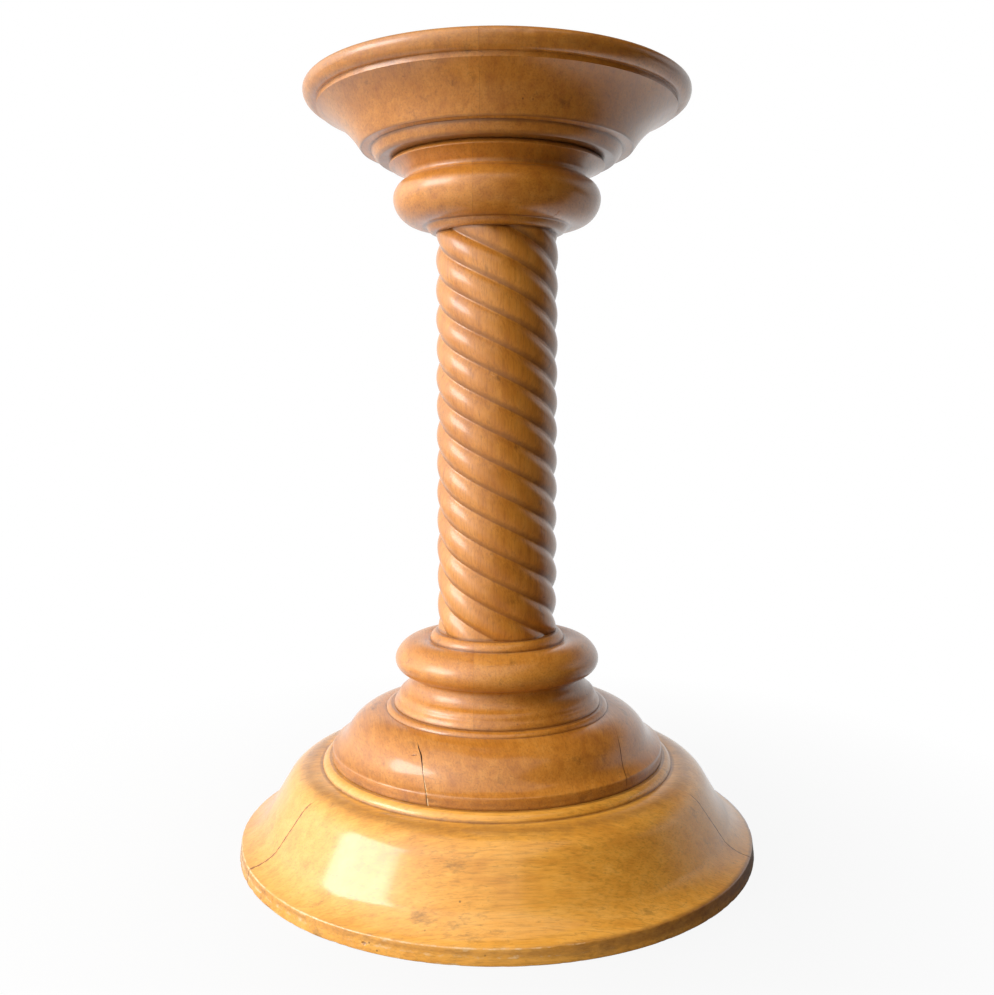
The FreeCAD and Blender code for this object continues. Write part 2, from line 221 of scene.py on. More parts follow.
def cutBoard(bm, joint, across, side, level):
    # saws off what lies beyond the joint; the board is slid straight for the cut and slid back after it
    for vert in bm.verts:
        shift, gap = atHeight(joint["path"], (vert.co.z - level) / mm)
        vert.co -= across * (shift - side * gap / 2) * mm
    made = bmesh.ops.bisect_plane(bm, geom=bm.verts[:] + bm.edges[:] + bm.faces[:], dist=1e-7,
                                  plane_co=across * joint["across"] * mm, plane_no=across * side,
                                  clear_outer=True)
    rim = [item for item in made["geom_cut"] if isinstance(item, bmesh.types.BMEdge)]
    grimeAndShadeLayer = bm.verts.layers.float["grimeAndShade"]
    wearAndHighlightLayer = bm.verts.layers.float["wearAndHighlight"]
    clean = level + openJoint["cleanHeight"] * mm  # the underside stays clean
    for vert in {v for e in rim for v in e.verts if v.co.z > clean}:
        if side < 0 and vert.co.z - level < joint["chippedBelow"] * mm:
            vert[wearAndHighlightLayer] = openJoint["chippedWear"]  # the rim has lost its varnish here
        else:
            shift, gap = atHeight(joint["path"], (vert.co.z - level) / mm)
            filled = min(1.0, gap / openJoint["fullGrimeGap"])
            vert[grimeAndShadeLayer] = max(vert[grimeAndShadeLayer], joint["grime"] * filled)
    bmesh.ops.triangle_fill(bm, edges=rim, use_beauty=True, normal=across * side)
    for vert in bm.verts:
        shift, gap = atHeight(joint["path"], (vert.co.z - level) / mm)
        vert.co += across * (shift - side * gap / 2) * mm


def sawBoards(bm, joints, turn, level):
    # saws the turned blank along its glue joints
    across = Vector((math.cos(math.radians(turn)), math.sin(math.radians(turn)), 0))
    limits = [None] + joints + [None]
    boards = []
    for low, high in zip(limits, limits[1:]):
        board = bm.copy()
        if low is not None:
            cutBoard(board, low, across, -1, level)
        if high is not None:
            cutBoard(board, high, across, 1, level)
        boards.append(board)
    bm.free()
    return boards


def makePiece(name, bm, finish, node, sharpAngle=38):
    mesh = bpy.data.meshes.new(name)
    bm.to_mesh(mesh)
    bm.free()
    mesh.shade_smooth()
    mesh.set_sharp_from_angle(angle=math.radians(sharpAngle))
    mesh.materials.append(finish)
    piece = bpy.data.objects.new(name, mesh)
    bpy.context.scene.collection.objects.link(piece)
    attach(piece, body)
    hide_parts(node)
    return piece


# finishes


def addNode(tree, kind, settings=None, inputs=None):
    node = tree.nodes.new(kind)
    for key, value in (settings or {}).items():
        setattr(node, key, value)
    for key, value in (inputs or {}).items():
        if isinstance(value, bpy.types.NodeSocket):
            tree.links.new(value, node.inputs[key])
        else:
            node.inputs[key].default_value = value
    return node


def addRamp(tree, source, stops):
    ramp = addNode(tree, "ShaderNodeValToRGB", inputs={"Fac": source})
    elements = ramp.color_ramp.elements
    while len(elements) < len(stops):
        elements.new(0.5)
    for element, (place, colour) in zip(elements, stops):
        element.position = place
        element.color = colour
    return ramp.outputs["Color"]


def grey(value):
    return (value, value, value, 1)


def mixColour(tree, blend, factor, first, second):
    node = addNode(tree, "ShaderNodeMix", {"data_type": "RGBA", "blend_type": blend})
    for socket, value in zip((node.inputs[0], node.inputs[6], node.inputs[7]), (factor, first, second)):
        if isinstance(value, bpy.types.NodeSocket):
            tree.links.new(value, socket)
        else:
            socket.default_value = value
    return node.outputs[2]


def calc(tree, operation, first, second=0.0):
    node = addNode(tree, "ShaderNodeMath", {"operation": operation})
    for socket, value in zip(node.inputs, (first, second)):
        if isinstance(value, bpy.types.NodeSocket):
            tree.links.new(value, socket)
        else:
            socket.default_value = value
    return node.outputs[0]


honey = {
    "golden": [(0.52, 0.202, 0.018), (0.69, 0.315, 0.041), (0.77, 0.395, 0.080)],
    "amber": [(0.33, 0.103, 0.008), (0.47, 0.174, 0.019), (0.58, 0.248, 0.042)],
    # the dark colour is grime in joints and cracks, and painted shade in creases, under overhangs, on the
    # right side and on the down-facing flanks of the reeds
    "grimeAndShade": (0.190, 0.070, 0.015, 1),
    # the pale colour is rubbed-off finish, and a painted highlight on the upper flanks of the reeds
    "wornAndHighlight": (0.72, 0.49, 0.25, 1),
    # spread along and across the grain, detail and roughness of each noise
    "cloud": ((8.0, 13.0, 13.0), 3.0, 0.6),
    "mottle": ((48.0, 75.0, 75.0), 4.0, 0.65),
    "streak": ((9.0, 170.0, 170.0), 4.0, 0.65),
    "fibre": ((60.0, 760.0, 760.0), 3.0, 0.6),
    "patch": ((30.0, 30.0, 30.0), 3.0, 0.6),
    "chip": ((130.0, 130.0, 260.0), 3.0, 0.65),
    "smudge": ((26.0, 60.0, 60.0), 5.0, 0.7),
    "pitScale": 120.0,
    "bodyRoughness": 0.44, "wornRoughness": 0.65,
    "bumpStrength": 0.14, "bumpDepth": 0.002,
    "shine": 0.28, "coat": 0.85,
}


def toned(colour, tone):
    return (colour[0] * tone, colour[1] * tone, colour[2] * tone, 1)


def stretchedNoise(tree, place, scale, detail, roughness=0.6):
    spread = addNode(tree, "ShaderNodeMapping", inputs={"Vector": place, "Scale": scale}).outputs["Vector"]
    return addNode(tree, "ShaderNodeTexNoise", inputs={
        "Vector": spread, "Scale": 1.0, "Detail": detail, "Roughness": roughness}).outputs["Fac"]


def honeyWood(name, palette, seed, tone, grainTurn=0.0, grainUp=False, fleckScale=(240.0, 240.0, 1000.0),
              varnish=0.16):
    # satin honey varnish over fine-grained wood; the grain runs along the mapped X axis
    material = bpy.data.materials.new(name)
    material.use_nodes = True
    tree = material.node_tree
    shader = tree.nodes["Principled BSDF"]
    place = addNode(tree, "ShaderNodeTexCoord").outputs["Object"]
    turn = (0, math.radians(90), 0) if grainUp else (0, 0, -math.radians(grainTurn))
    offset = (seed, seed * 0.7, seed * 1.3)
    along = addNode(tree, "ShaderNodeMapping", inputs={
        "Vector": place, "Rotation": turn, "Location": offset}).outputs["Vector"]
    upright = addNode(tree, "ShaderNodeMapping", inputs={
        "Vector": place, "Location": offset}).outputs["Vector"]
    cloud = stretchedNoise(tree, along, *honey["cloud"])
    mottle = stretchedNoise(tree, along, *honey["mottle"])
    streak = stretchedNoise(tree, along, *honey["streak"])
    fibre = stretchedNoise(tree, along, *honey["fibre"])
    fleck = stretchedNoise(tree, upright, fleckScale, 3.0)
    patch = stretchedNoise(tree, along, *honey["patch"])
    chip = stretchedNoise(tree, upright, *honey["chip"])
    smudge = stretchedNoise(tree, along, *honey["smudge"])
    pits = addNode(tree, "ShaderNodeTexVoronoi", inputs={
        "Vector": along, "Scale": honey["pitScale"], "Randomness": 1.0})

    # body colour: slow clouds, mottling and grain streaks
    blend = calc(tree, "ADD", calc(tree, "MULTIPLY", cloud, 0.34), calc(tree, "MULTIPLY", mottle, 0.30))
    blend = calc(tree, "ADD", blend, calc(tree, "MULTIPLY", streak, 0.36))
    brown, gold, pale = [toned(colour, tone) for colour in honey[palette]]
    colour = addRamp(tree, blend, [(0.33, brown), (0.50, gold), (0.67, pale)])
    # fine fibres and flecks, here denser and there thinner
    fibreShade = addRamp(tree, fibre, [(0.30, grey(0.62)), (0.50, grey(1.0)), (0.72, grey(1.12))])
    colour = mixColour(tree, "MULTIPLY", 0.6, colour, fibreShade)
    fleckShade = addRamp(tree, fleck, [(0.30, grey(0.62)), (0.42, grey(1.0))])
    fleckWhere = addRamp(tree, mottle, [(0.42, grey(0.1)), (0.62, grey(0.75))])
    colour = mixColour(tree, "MULTIPLY", fleckWhere, colour, fleckShade)
    # old smudges, pin holes and specks in a few patches
    smudgeShade = addRamp(tree, smudge, [(0.28, grey(0.45)), (0.40, grey(1.0))])
    colour = mixColour(tree, "MULTIPLY", 0.8, colour, smudgeShade)
    pitShade = addRamp(tree, pits.outputs["Distance"], [(0.05, grey(0.28)), (0.12, grey(1.0))])
    pitWhere = addRamp(tree, patch, [(0.60, grey(0.0)), (0.68, grey(0.9))])
    colour = mixColour(tree, "MULTIPLY", pitWhere, colour, pitShade)

    # grime in joints and cracks, and painted shade in creases, under overhangs, on the right side and on
    # the down-facing flanks of the reeds, darken the colour
    grimeAndShade = addNode(tree, "ShaderNodeAttribute", {"attribute_name": "grimeAndShade"}).outputs["Fac"]
    grimeAndShade = calc(tree, "MULTIPLY", grimeAndShade, calc(tree, "ADD", chip, calc(tree, "MULTIPLY", mottle, 0.8)))
    grimeAndShadeMask = addRamp(tree, grimeAndShade, [(0.22, grey(0.0)), (0.45, grey(0.45)), (0.90, grey(0.88))])
    colour = mixColour(tree, "MIX", grimeAndShadeMask, colour, honey["grimeAndShade"])
    # rubbed-off finish pales the colour, and so does a painted highlight on the upper flanks of the reeds
    wearAndHighlight = addNode(tree, "ShaderNodeAttribute", {"attribute_name": "wearAndHighlight"}).outputs["Fac"]
    wearAndHighlight = calc(tree, "MULTIPLY", wearAndHighlight, calc(tree, "ADD", chip, calc(tree, "MULTIPLY", mottle, 0.5)))
    wearAndHighlightMask = addRamp(tree, wearAndHighlight, [(0.60, grey(0.0)), (0.78, grey(0.85))])
    colour = mixColour(tree, "MIX", wearAndHighlightMask, colour, honey["wornAndHighlight"])
    tree.links.new(colour, shader.inputs["Base Color"])

    smooth, dull = grey(honey["bodyRoughness"] - 0.06), grey(honey["bodyRoughness"] + 0.08)
    rough = addRamp(tree, patch, [(0.3, smooth), (0.7, dull)])
    rough = mixColour(tree, "MIX", wearAndHighlightMask, rough, grey(honey["wornRoughness"]))
    tree.links.new(rough, shader.inputs["Roughness"])
    relief = calc(tree, "ADD", calc(tree, "MULTIPLY", streak, 0.5), calc(tree, "MULTIPLY", mottle, 0.7))
    relief = calc(tree, "ADD", relief, calc(tree, "MULTIPLY", fibre, 0.25))
    bump = addNode(tree, "ShaderNodeBump", inputs={
        "Height": relief, "Strength": honey["bumpStrength"], "Distance": honey["bumpDepth"]})
    tree.links.new(bump.outputs["Normal"], shader.inputs["Normal"])
    shader.inputs["Specular IOR Level"].default_value = honey["shine"]
    shader.inputs["Coat Weight"].default_value = honey["coat"]
    shader.inputs["Coat Roughness"].default_value = varnish
    return material


# base: three boards side by side, grain from left to right

baseTier = {
    "nodes": ["base_board_front", "base_board_middle", "base_board_back"],
    "names": ["baseBoardFront", "baseBoardMiddle", "baseBoardBack"],
    "outline": [
        (0, 0, 0), (211.7, 0, 0), (210.2, 11.5, 0), (191.5, 24.5, -1.6), (174.5, 53.0, 0),
        (150.5, 68.6, 3.8), (144.8, 68.6, 0), (138.6, 74.1, 1.6), (0, 74.1, 0),
    ],
    "arrises": [(211.7, 0, 0.9), (210.2, 11.5, 0.8)],
    # dark rings, each radius, height, reach and strength: the crease at the bead is grime and painted
    # shade, the joint under the step is grime, the wide ring over the shoulder next to the step is painted
    # shade, and a wide ring darkens the band and the foot of the hollow
    "grooves": [(144.8, 68.6, 2.6, 0.8), (137.6, 74.1, 2.8, 1.0), (156.0, 67.0, 17.0, 0.55),
                (210.2, 9.0, 9.0, 0.45)],
    "wornAndHighlight": [(211.7, 0, 4.5, 1.0), (211.0, 6.0, 7.5, 0.90), (210.2, 11.5, 3.4, 1.0)],
    # on the right, the side away from the window, the wear is cut back and darkened as painted shade
    "knockScale": 150.0, "knockDepth": 1.4, "wearPaintedShadeRight": 0.6, "paintedShadeRight": 0.85,
    "waveScale": 16.0, "waveDepth": 0.3, "stillRadius": 120.0,
    "joints": [
        {"across": -83.5, "grime": 0.9, "chippedBelow": 0.0,
         "path": [(0, 0, 0.5), (59, 0, 0.5), (65, 0, 0.02)]},
        {"across": 83.5, "grime": 0.9, "chippedBelow": 0.0,
         "path": [(0, 0, 0.5), (59, 0, 0.5), (65, 0, 0.02)]},
    ],
    "recesses": [(0, 0, 22.0, 25.0), (0, 90.0, 6.0, 28.0), (0, -90.0, 6.0, 28.0), (93.5, 25.0, 6.0, 28.0),
                 (93.5, -25.0, 6.0, 28.0), (-93.5, 25.0, 6.0, 28.0), (-93.5, -25.0, 6.0, 28.0)],
    "checks": [{"ends": [(-90.6, -190.8, 5.6), (-86.8, -192.6, 5.4)], "width": 1.3, "depth": 1.2}],
    "turn": 93.2, "around": 576, "spacing": 3.0,
    "varnish": 0.15, "palette": "golden", "grainTurn": 3.2,
    "seeds": [0.3, 0.9, 1.6], "tones": [1.0, 0.97, 1.0],
}

# step: three boards from front to back, laid across the base; the left joint has opened and runs crooked

stepTier = {
    "nodes": ["step_board_left", "step_board_middle", "step_board_right"],
    "names": ["stepBoardLeft", "stepBoardMiddle", "stepBoardRight"],
    "outline": [
        (0, 2.6, 0), (137.0, 2.6, 0), (136.3, 11.5, 0), (124.0, 22.5, -1.5), (92.2, 40.9, 5.0),
        (92.2, 40.5, 0), (87.5, 44.5, 1.2), (0, 44.5, 0),
    ],
    "arrises": [(137.0, 2.6, 0.8), (136.3, 11.5, 0.9)],
    # dark rings: the crease at the bead is grime and painted shade, the joints under the collar and on the
    # base are grime, and a wide ring makes the band darker towards the bottom
    "grooves": [(92.2, 40.5, 2.2, 0.8), (86.6, 44.5, 2.8, 1.0), (138.0, 2.6, 3.4, 1.0),
                (137.0, 7.0, 6.0, 0.4)],
    "wornAndHighlight": [(137.0, 2.6, 1.6, 1.0), (136.5, 11.5, 1.8, 0.9)],
    # on the right, the side away from the window, the wear is cut back and darkened as painted shade
    "knockScale": 160.0, "knockDepth": 1.0, "wearPaintedShadeRight": 0.5, "paintedShadeRight": 0.5,
    "waveScale": 22.0, "waveDepth": 0.25, "stillRadius": 70.0,
    "joints": [
        {"across": -73.0, "grime": 0.6, "chippedBelow": 25.0,
         "path": [(0, 1.9, 0.4), (6.4, 1.0, 0.5), (10.7, 0.9, 0.4), (15.0, 0.5, 0.35), (21.0, 0.1, 0.35),
                  (29.0, -0.1, 0.6), (32.0, -0.1, 1.1), (34.8, -1.2, 0.7), (37.7, -1.7, 0.05),
                  (43.0, -2.0, 0.02)]},
        {"across": 81.0, "grime": 0.5, "chippedBelow": 0.0,
         "path": [(0, -2.0, 0.25), (20.8, -1.5, 0.5), (31.0, -0.5, 0.5), (36.8, 0.3, 0.1),
                  (43.0, 0.6, 0.02)]},
    ],
    "checks": [{"ends": [(-63.5, -99.1, 102.1), (-59.5, -100.6, 102.9)], "width": 0.6, "depth": 0.6}],
    "turn": 10.0, "around": 480, "spacing": 2.5,
    "varnish": 0.16, "palette": "amber", "grainTurn": 100.0,
    "seeds": [1.1, 2.3, 3.1], "tones": [1.02, 1.0, 1.0],
}

# lower collar: foot, hollow, roll and seat ring

lowerCollar = {
    "nodes": ["lower_collar_left", "lower_collar_right"],
    "names": ["lowerCollarLeft", "lowerCollarRight"],
    "outline": [
        (0, 1.5, 0), (85.8, 1.5, 0), (82.2, 7.6, 0.6), (77.6, 13.8, 1.0), (72.0, 23.8, -1.2),
        (74.2, 28.2, -0.9), (82.8, 44.0, 4.9), (58.3, 54.7, 4.9), (55.6, 54.4, 0), (50.5, 61.5, 1.3),
        (0, 61.5, 0),
    ],
    "arrises": [(85.8, 1.5, 0.5)],
    # dark rings: the crease at the seat ring is grime and painted shade, the joints with the column and
    # the step are grime, and the ring under the roll is painted shade
    "grooves": [(55.6, 54.4, 2.6, 1.0), (49.5, 61.5, 3.0, 1.0), (86.6, 1.5, 3.2, 1.0),
                (73.0, 26.5, 4.0, 0.3)],
    "wornAndHighlight": [], "knockScale": 160.0, "knockDepth": 0.0, "wearPaintedShadeRight": 0.0, "paintedShadeRight": 0.0,
    "waveScale": 30.0, "waveDepth": 0.2, "stillRadius": 45.0,
    "joints": [{"across": -18.0, "path": [(0, 0, 0.08)], "grime": 0.0, "chippedBelow": 0.0}],
    "checks": [],
    "turn": 0.0, "around": 320, "spacing": 1.6,
    "varnish": 0.24, "palette": "amber", "grainTurn": 90.0, "seeds": [2.2, 4.4], "tones": [1.05, 0.98],
}

# upper collar: ring, roll, crease and lip

upperCollar = {
    "nodes": ["upper_collar_left", "upper_collar_right"],
    "names": ["upperCollarLeft", "upperCollarRight"],
    "outline": [
        (0, 0, 0), (50.5, 0, 0), (56.5, 5.0, 1.2), (58.2, 5.9, 0), (82.5, 22.5, 5.8), (72.6, 40.4, 4.0),
        (74.0, 45.6, -1.3), (86.2, 51.8, -0.7), (83.0, 56.0, 0.5), (0, 56.0, 0),
    ],
    "arrises": [(86.2, 51.8, 0.5)],
    # dark rings: the crease at the ring is grime and painted shade, the joints with the column and under
    # the top are grime, and the ring in the hollow under the lip is painted shade
    "grooves": [(58.2, 5.9, 2.6, 1.0), (49.5, 0.0, 3.2, 1.0), (83.5, 56.0, 4.6, 1.0),
                (72.0, 43.0, 5.0, 0.4)],
    "wornAndHighlight": [], "knockScale": 160.0, "knockDepth": 0.0, "wearPaintedShadeRight": 0.0, "paintedShadeRight": 0.0,
    "waveScale": 30.0, "waveDepth": 0.2, "stillRadius": 45.0,
    "joints": [{"across": -18.0, "path": [(0, 0, 0.08)], "grime": 0.0, "chippedBelow": 0.0}],
    "checks": [{"ends": [(42.0, -48.0, 504.0), (46.7, -55.4, 506.7)], "width": 0.7, "depth": 1.0}],
    "turn": 0.0, "around": 320, "spacing": 1.6,
    "varnish": 0.24, "palette": "amber", "grainTurn": 90.0, "seeds": [3.7, 5.9], "tones": [1.04, 0.98],
}

# flared top: soffit, ring, ledge, flare, fillet and rim

flaredTop = {
    "nodes": ["cap_board_left", "cap_board_right"],
    "names": ["capBoardLeft", "capBoardRight"],
    "outline": [
        (0, 0, 0), (93.8, 0, 0), (100.3, 8.5, 0.8), (108.2, 8.9, 0), (110.8, 12.3, 0),
        (141.9, 38.1, -3.1), (141.9, 41.8, 0), (151.9, 51.8, 4.2), (144.9, 56.0, 1.0), (0, 56.0, 0),
    ],
    "arrises": [(93.8, 0, 0.6), (110.8, 12.3, 0.5), (141.9, 41.8, 0.4), (151.9, 51.8, 0.8),
                (144.9, 56.0, 0.8)],
    # dark rings: the creases at the ring, the ledge and over the fillet are grime and painted shade, the
    # wide ring on the soffit by the collar is grime and painted shade, and a wide ring darkens the rim
    "grooves": [(100.3, 8.5, 2.8, 1.0), (108.2, 8.9, 2.6, 0.8), (141.9, 42.8, 2.0, 0.9),
                (93.0, 0.0, 6.0, 1.0), (149.5, 50.0, 11.0, 0.62)],
    "wornAndHighlight": [(151.9, 51.8, 1.6, 0.9), (141.9, 39.0, 2.2, 1.0)],
    # towards the right the wear is cut back as painted shade
    "knockScale": 120.0, "knockDepth": 1.0, "wearPaintedShadeRight": 0.3, "paintedShadeRight": 0.0,
    "waveScale": 18.0, "waveDepth": 0.3, "stillRadius": 88.0,
    "joints": [{"across": -12.0, "path": [(0, 0, 0.08)], "grime": 0.0, "chippedBelow": 0.0}],
    "checks": [{"ends": [(121.5, -48.9, 588.0), (112.4, -39.7, 578.3)], "width": 0.45, "depth": 0.7}],
    "turn": 0.0, "around": 480, "spacing": 2.5,
    "varnish": 0.24, "palette": "amber", "grainTurn": 90.0, "seeds": [5.2, 6.6], "tones": [1.04, 0.98],
}


def makeTier(tier):
    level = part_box(tier["nodes"][0])[0].z
    bm = turnOutline(tier["outline"], level, tier["around"], tier["spacing"])
    softenArrises(bm, tier["arrises"], level)
    ageSurface(bm, tier, level)
    for check in tier["checks"]:
        openCheck(bm, check)
    if "recesses" in tier:
        boreRecesses(bm, tier["recesses"], tier["turn"], level)
    boards = sawBoards(bm, tier["joints"], tier["turn"], level)
    rows = zip(tier["names"], boards, tier["nodes"], tier["seeds"], tier["tones"])
    for name, board, node, seed, tone in rows:
        finish = honeyWood(name + "Honey", tier["palette"], seed, tone, tier["grainTurn"],
                           varnish=tier["varnish"])
        makePiece(name, board, finish, node)
    print("turned", ", ".join(tier["names"]))


makeTier(baseTier)
makeTier(stepTier)
makeTier(lowerCollar)
makeTier(upperCollar)
makeTier(flaredTop)


# rope-twist column

twistColumn = {
    "radius": 49.1, "reedDepth": 3.8, "reeds": 6, "lead": 140.0, "startTurn": -1.9,
    "reedSteps": 20, "risePerStep": 1.1, "grooveFillet": 0.9,
    "waveScale": 38.0, "waveDepth": 0.35,
    # the groove darkening is grime and painted shade, strongest on the flanks that face down; the ends are
    # grime where the column meets the collars
    "grooveDarkReach": 0.5, "shadeReach": 0.95, "shadeLevel": 0.95, "endDirtReach": 3.0,
    "leastFlankShade": 0.2, "levelFlankShade": 0.45, "downwardFlankShade": 2.2,
    # a pale band on the up-facing flanks near the grooves is a painted highlight
    "flankHighlight": 1.0, "flankHighlightAt": 0.72, "flankHighlightReach": 0.22, "upFacing": 0.1,
    "grainFleck": (900.0, 900.0, 200.0), "varnish": 0.24, "sharpAngle": 60,
}


def twistReeds(column, foot, head, crest, groove):
    # one reed: from groove to groove over the crest
    reedTurn = math.tau / column["reeds"]
    bm = bmesh.new()
    half = groove * math.sin(reedTurn / 2)
    sagitta = crest - groove * math.cos(reedTurn / 2)
    reedRadius = (half * half + sagitta * sagitta) / (2 * sagitta)
    vert = bm.verts.new((groove * math.cos(reedTurn / 2), -half, foot))
    bmesh.ops.spin(bm, geom=[vert], cent=(crest - reedRadius, 0, foot), axis=(0, 0, 1),
                   angle=4 * math.atan(sagitta / half), steps=column["reedSteps"])
    start = Matrix.Rotation(math.radians(column["startTurn"]), 3, "Z")
    bmesh.ops.rotate(bm, verts=bm.verts, cent=(0, 0, 0), matrix=start)
    bmesh.ops.spin(bm, geom=bm.verts[:] + bm.edges[:], cent=(0, 0, 0), axis=(0, 0, 1),
                   angle=math.tau, steps=column["reeds"], use_duplicate=True)
    bmesh.ops.remove_doubles(bm, verts=bm.verts, dist=1e-5)
    # the ring of reeds climbs and turns to the left
    steps = round((head - foot) / (column["risePerStep"] * mm))
    twist = -math.tau * (head - foot) / (column["lead"] * mm)
    bmesh.ops.spin(bm, geom=bm.verts[:] + bm.edges[:], cent=(0, 0, 0), axis=(0, 0, 1),
                   angle=twist, steps=steps, dvec=(0, 0, (head - foot) / steps))
    print("twisted the reeds:", steps, "rings")
    # the gouge left the grooves a little round
    grooveLines = [e for e in bm.edges if all(radiusOf(v) < groove + 1e-5 for v in e.verts)]
    bmesh.ops.bevel(bm, geom=grooveLines, offset=column["grooveFillet"] * mm, offset_type="OFFSET",
                    affect="EDGES", segments=2, profile=0.5, material=-1)
    for z in (foot, head):
        rim = [e for e in bm.edges if e.is_boundary and all(abs(v.co.z - z) < 1e-5 for v in e.verts)]
        bmesh.ops.triangle_fill(bm, edges=rim, use_beauty=True)
    bmesh.ops.recalc_face_normals(bm, faces=bm.faces)
    bm.normal_update()
    return bm


def ageColumn(bm, column, foot, head, crest, groove):
    # the grooves are darker with grime and painted shade, most on the flanks that face down; a pale band
    # on the upper flanks is a painted highlight
    grimeAndShadeLayer = bm.verts.layers.float.new("grimeAndShade")
    wearAndHighlightLayer = bm.verts.layers.float.new("wearAndHighlight")
    for vert in bm.verts:
        radius = radiusOf(vert)
        depth = (crest - radius) / (crest - groove)
        # painted highlight: a pale band on the upper flanks, near the groove
        if vert.normal.z > column["upFacing"]:
            away = abs(depth - column["flankHighlightAt"]) / column["flankHighlightReach"]
            vert[wearAndHighlightLayer] = column["flankHighlight"] * max(0.0, 1 - away)
        # painted shade deepest in the grooves and on the flanks that face down, with grime at the bottom
        # of the grooves and at both ends
        grimeAndShade = 1 - (1 - depth) / column["grooveDarkReach"]
        shade = (1 - (1 - depth) / column["shadeReach"]) * column["shadeLevel"]
        facing = column["levelFlankShade"] - vert.normal.z * column["downwardFlankShade"]
        facing = min(1.0, max(column["leastFlankShade"], facing))
        fromEnd = min(vert.co.z - foot, head - vert.co.z) / (column["endDirtReach"] * mm)
        vert[grimeAndShadeLayer] = max(0.0, grimeAndShade * facing, shade * facing, 1 - fromEnd)
    for vert in bm.verts:
        radius = radiusOf(vert)
        wave = noise.noise(vert.co * column["waveScale"]) * column["waveDepth"] * mm
        vert.co.x *= 1 + wave / radius
        vert.co.y *= 1 + wave / radius


def makeColumn(column):
    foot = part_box("lower_collar_right")[1].z
    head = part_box("upper_collar_right")[0].z
    crest = column["radius"] * mm
    groove = crest - column["reedDepth"] * mm
    bm = twistReeds(column, foot, head, crest, groove)
    ageColumn(bm, column, foot, head, crest, groove)
    finish = honeyWood("columnHoney", "amber", 7.4, 1.0, grainUp=True, fleckScale=column["grainFleck"],
                       varnish=column["varnish"])
    makePiece("twistColumn", bm, finish, "twist_shaft", column["sharpAngle"])
    print("carved the column")


makeColumn(twistColumn)


# dowels and screws stay as the solids have them and only get a finish


def bareWood():
    material = bpy.data.materials.new("bareDowelWood")
    material.use_nodes = True
    tree = material.node_tree
    shader = tree.nodes["Principled BSDF"]
    place = addNode(tree, "ShaderNodeTexCoord").outputs["Object"]
    grain = stretchedNoise(tree, place, (240.0, 240.0, 240.0), 4.0)
    colour = addRamp(tree, grain, [(0.35, (0.42, 0.25, 0.10, 1)), (0.65, (0.62, 0.42, 0.21, 1))])
    tree.links.new(colour, shader.inputs["Base Color"])
    shader.inputs["Roughness"].default_value = 0.7
    return material


def zincSteel():
    material = bpy.data.materials.new("zincSteel")
    material.use_nodes = True
    tree = material.node_tree
    shader = tree.nodes["Principled BSDF"]
    place = addNode(tree, "ShaderNodeTexCoord").outputs["Object"]
    spangle = stretchedNoise(tree, place, (420.0, 420.0, 420.0), 3.0)
    shade = addRamp(tree, spangle, [(0.35, grey(0.42)), (0.65, grey(0.60))])
    rough = addRamp(tree, spangle, [(0.35, grey(0.48)), (0.65, grey(0.32))])
    tree.links.new(shade, shader.inputs["Base Color"])
    tree.links.new(rough, shader.inputs["Roughness"])
    shader.inputs["Metallic"].default_value = 1.0
    return material


fixings = {
    "dowels": ["base_edge_dowels", "step_edge_dowels", "lower_collar_edge_dowels",
               "upper_collar_edge_dowels", "cap_edge_dowels", "collar_foot_dowels", "cap_dowels"],
    "screws": ["coach_screw", "coach_washer", "tier_screws"],
}
dowelFinish, screwFinish = bareWood(), zincSteel()
for kind, finish in (("dowels", dowelFinish), ("screws", screwFinish)):
    for name in fixings[kind]:
        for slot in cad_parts[name].material_slots:
            slot.material = finish
print("finished the dowels and screws")


# stage, lights and camera

stage = {
    "aim": (0, 0, 0.28),
    "window": {"azimuth": -69, "elevation": 23, "distance": 3.0,
               "width": 1.7, "height": 1.2, "power": 54.0},
    "skylight": {"azimuth": -25, "elevation": 62, "distance": 2.6,
                 "width": 3.4, "height": 3.0, "power": 24.0},
    "floorRadius": 4.5, "floorHole": 0.2,
    # from and to: places across the floor, or parts of a direction; then the values there
    # painted light: the floor's colour from left to right, paler by the window
    "floorPaintedLight": (-0.8, 0.2, 1.0, 0.04),
    "floorBehind": (-0.05, 0.15, 0.0, 1.0),
    "shadowFade": (0.21, 0.55, 0.92, 1.0),
    "brightSide": {"azimuth": -75, "elevation": 10},
    "roomLight": [
        (0.33, (0.0, 0.0, 0.0, 1)), (0.371, (0.04, 0.015, 0.003, 1)), (0.456, (0.16, 0.085, 0.03, 1)),
        (0.544, (0.40, 0.28, 0.16, 1)), (0.671, (0.84, 0.73, 0.58, 1)), (0.821, (1.55, 1.51, 1.43, 1)),
        (0.883, (2.05, 2.04, 2.00, 1)), (0.933, (2.45, 2.45, 2.44, 1)), (1.0, (2.9, 2.9, 2.9, 1)),
    ],
    "backdropEdge": (0.24, 0.50, 0.0, 1.0), "backdropLean": 0.9,
    "backdropTop": (0.35, 0.60, 1.0, 0.0),
    "backdropLight": 0.7,
}


def ranged(tree, value, limits):
    start, end, first, last = limits
    return addNode(tree, "ShaderNodeMapRange", inputs={
        "Value": value, "From Min": start, "From Max": end,
        "To Min": first, "To Max": last}).outputs["Result"]


def towards(azimuth, elevation):
    # azimuth from the front, to the right; both in degrees
    azimuth, elevation = math.radians(azimuth), math.radians(elevation)
    return Vector((math.sin(azimuth) * math.cos(elevation), -math.cos(azimuth) * math.cos(elevation),
                   math.sin(elevation)))


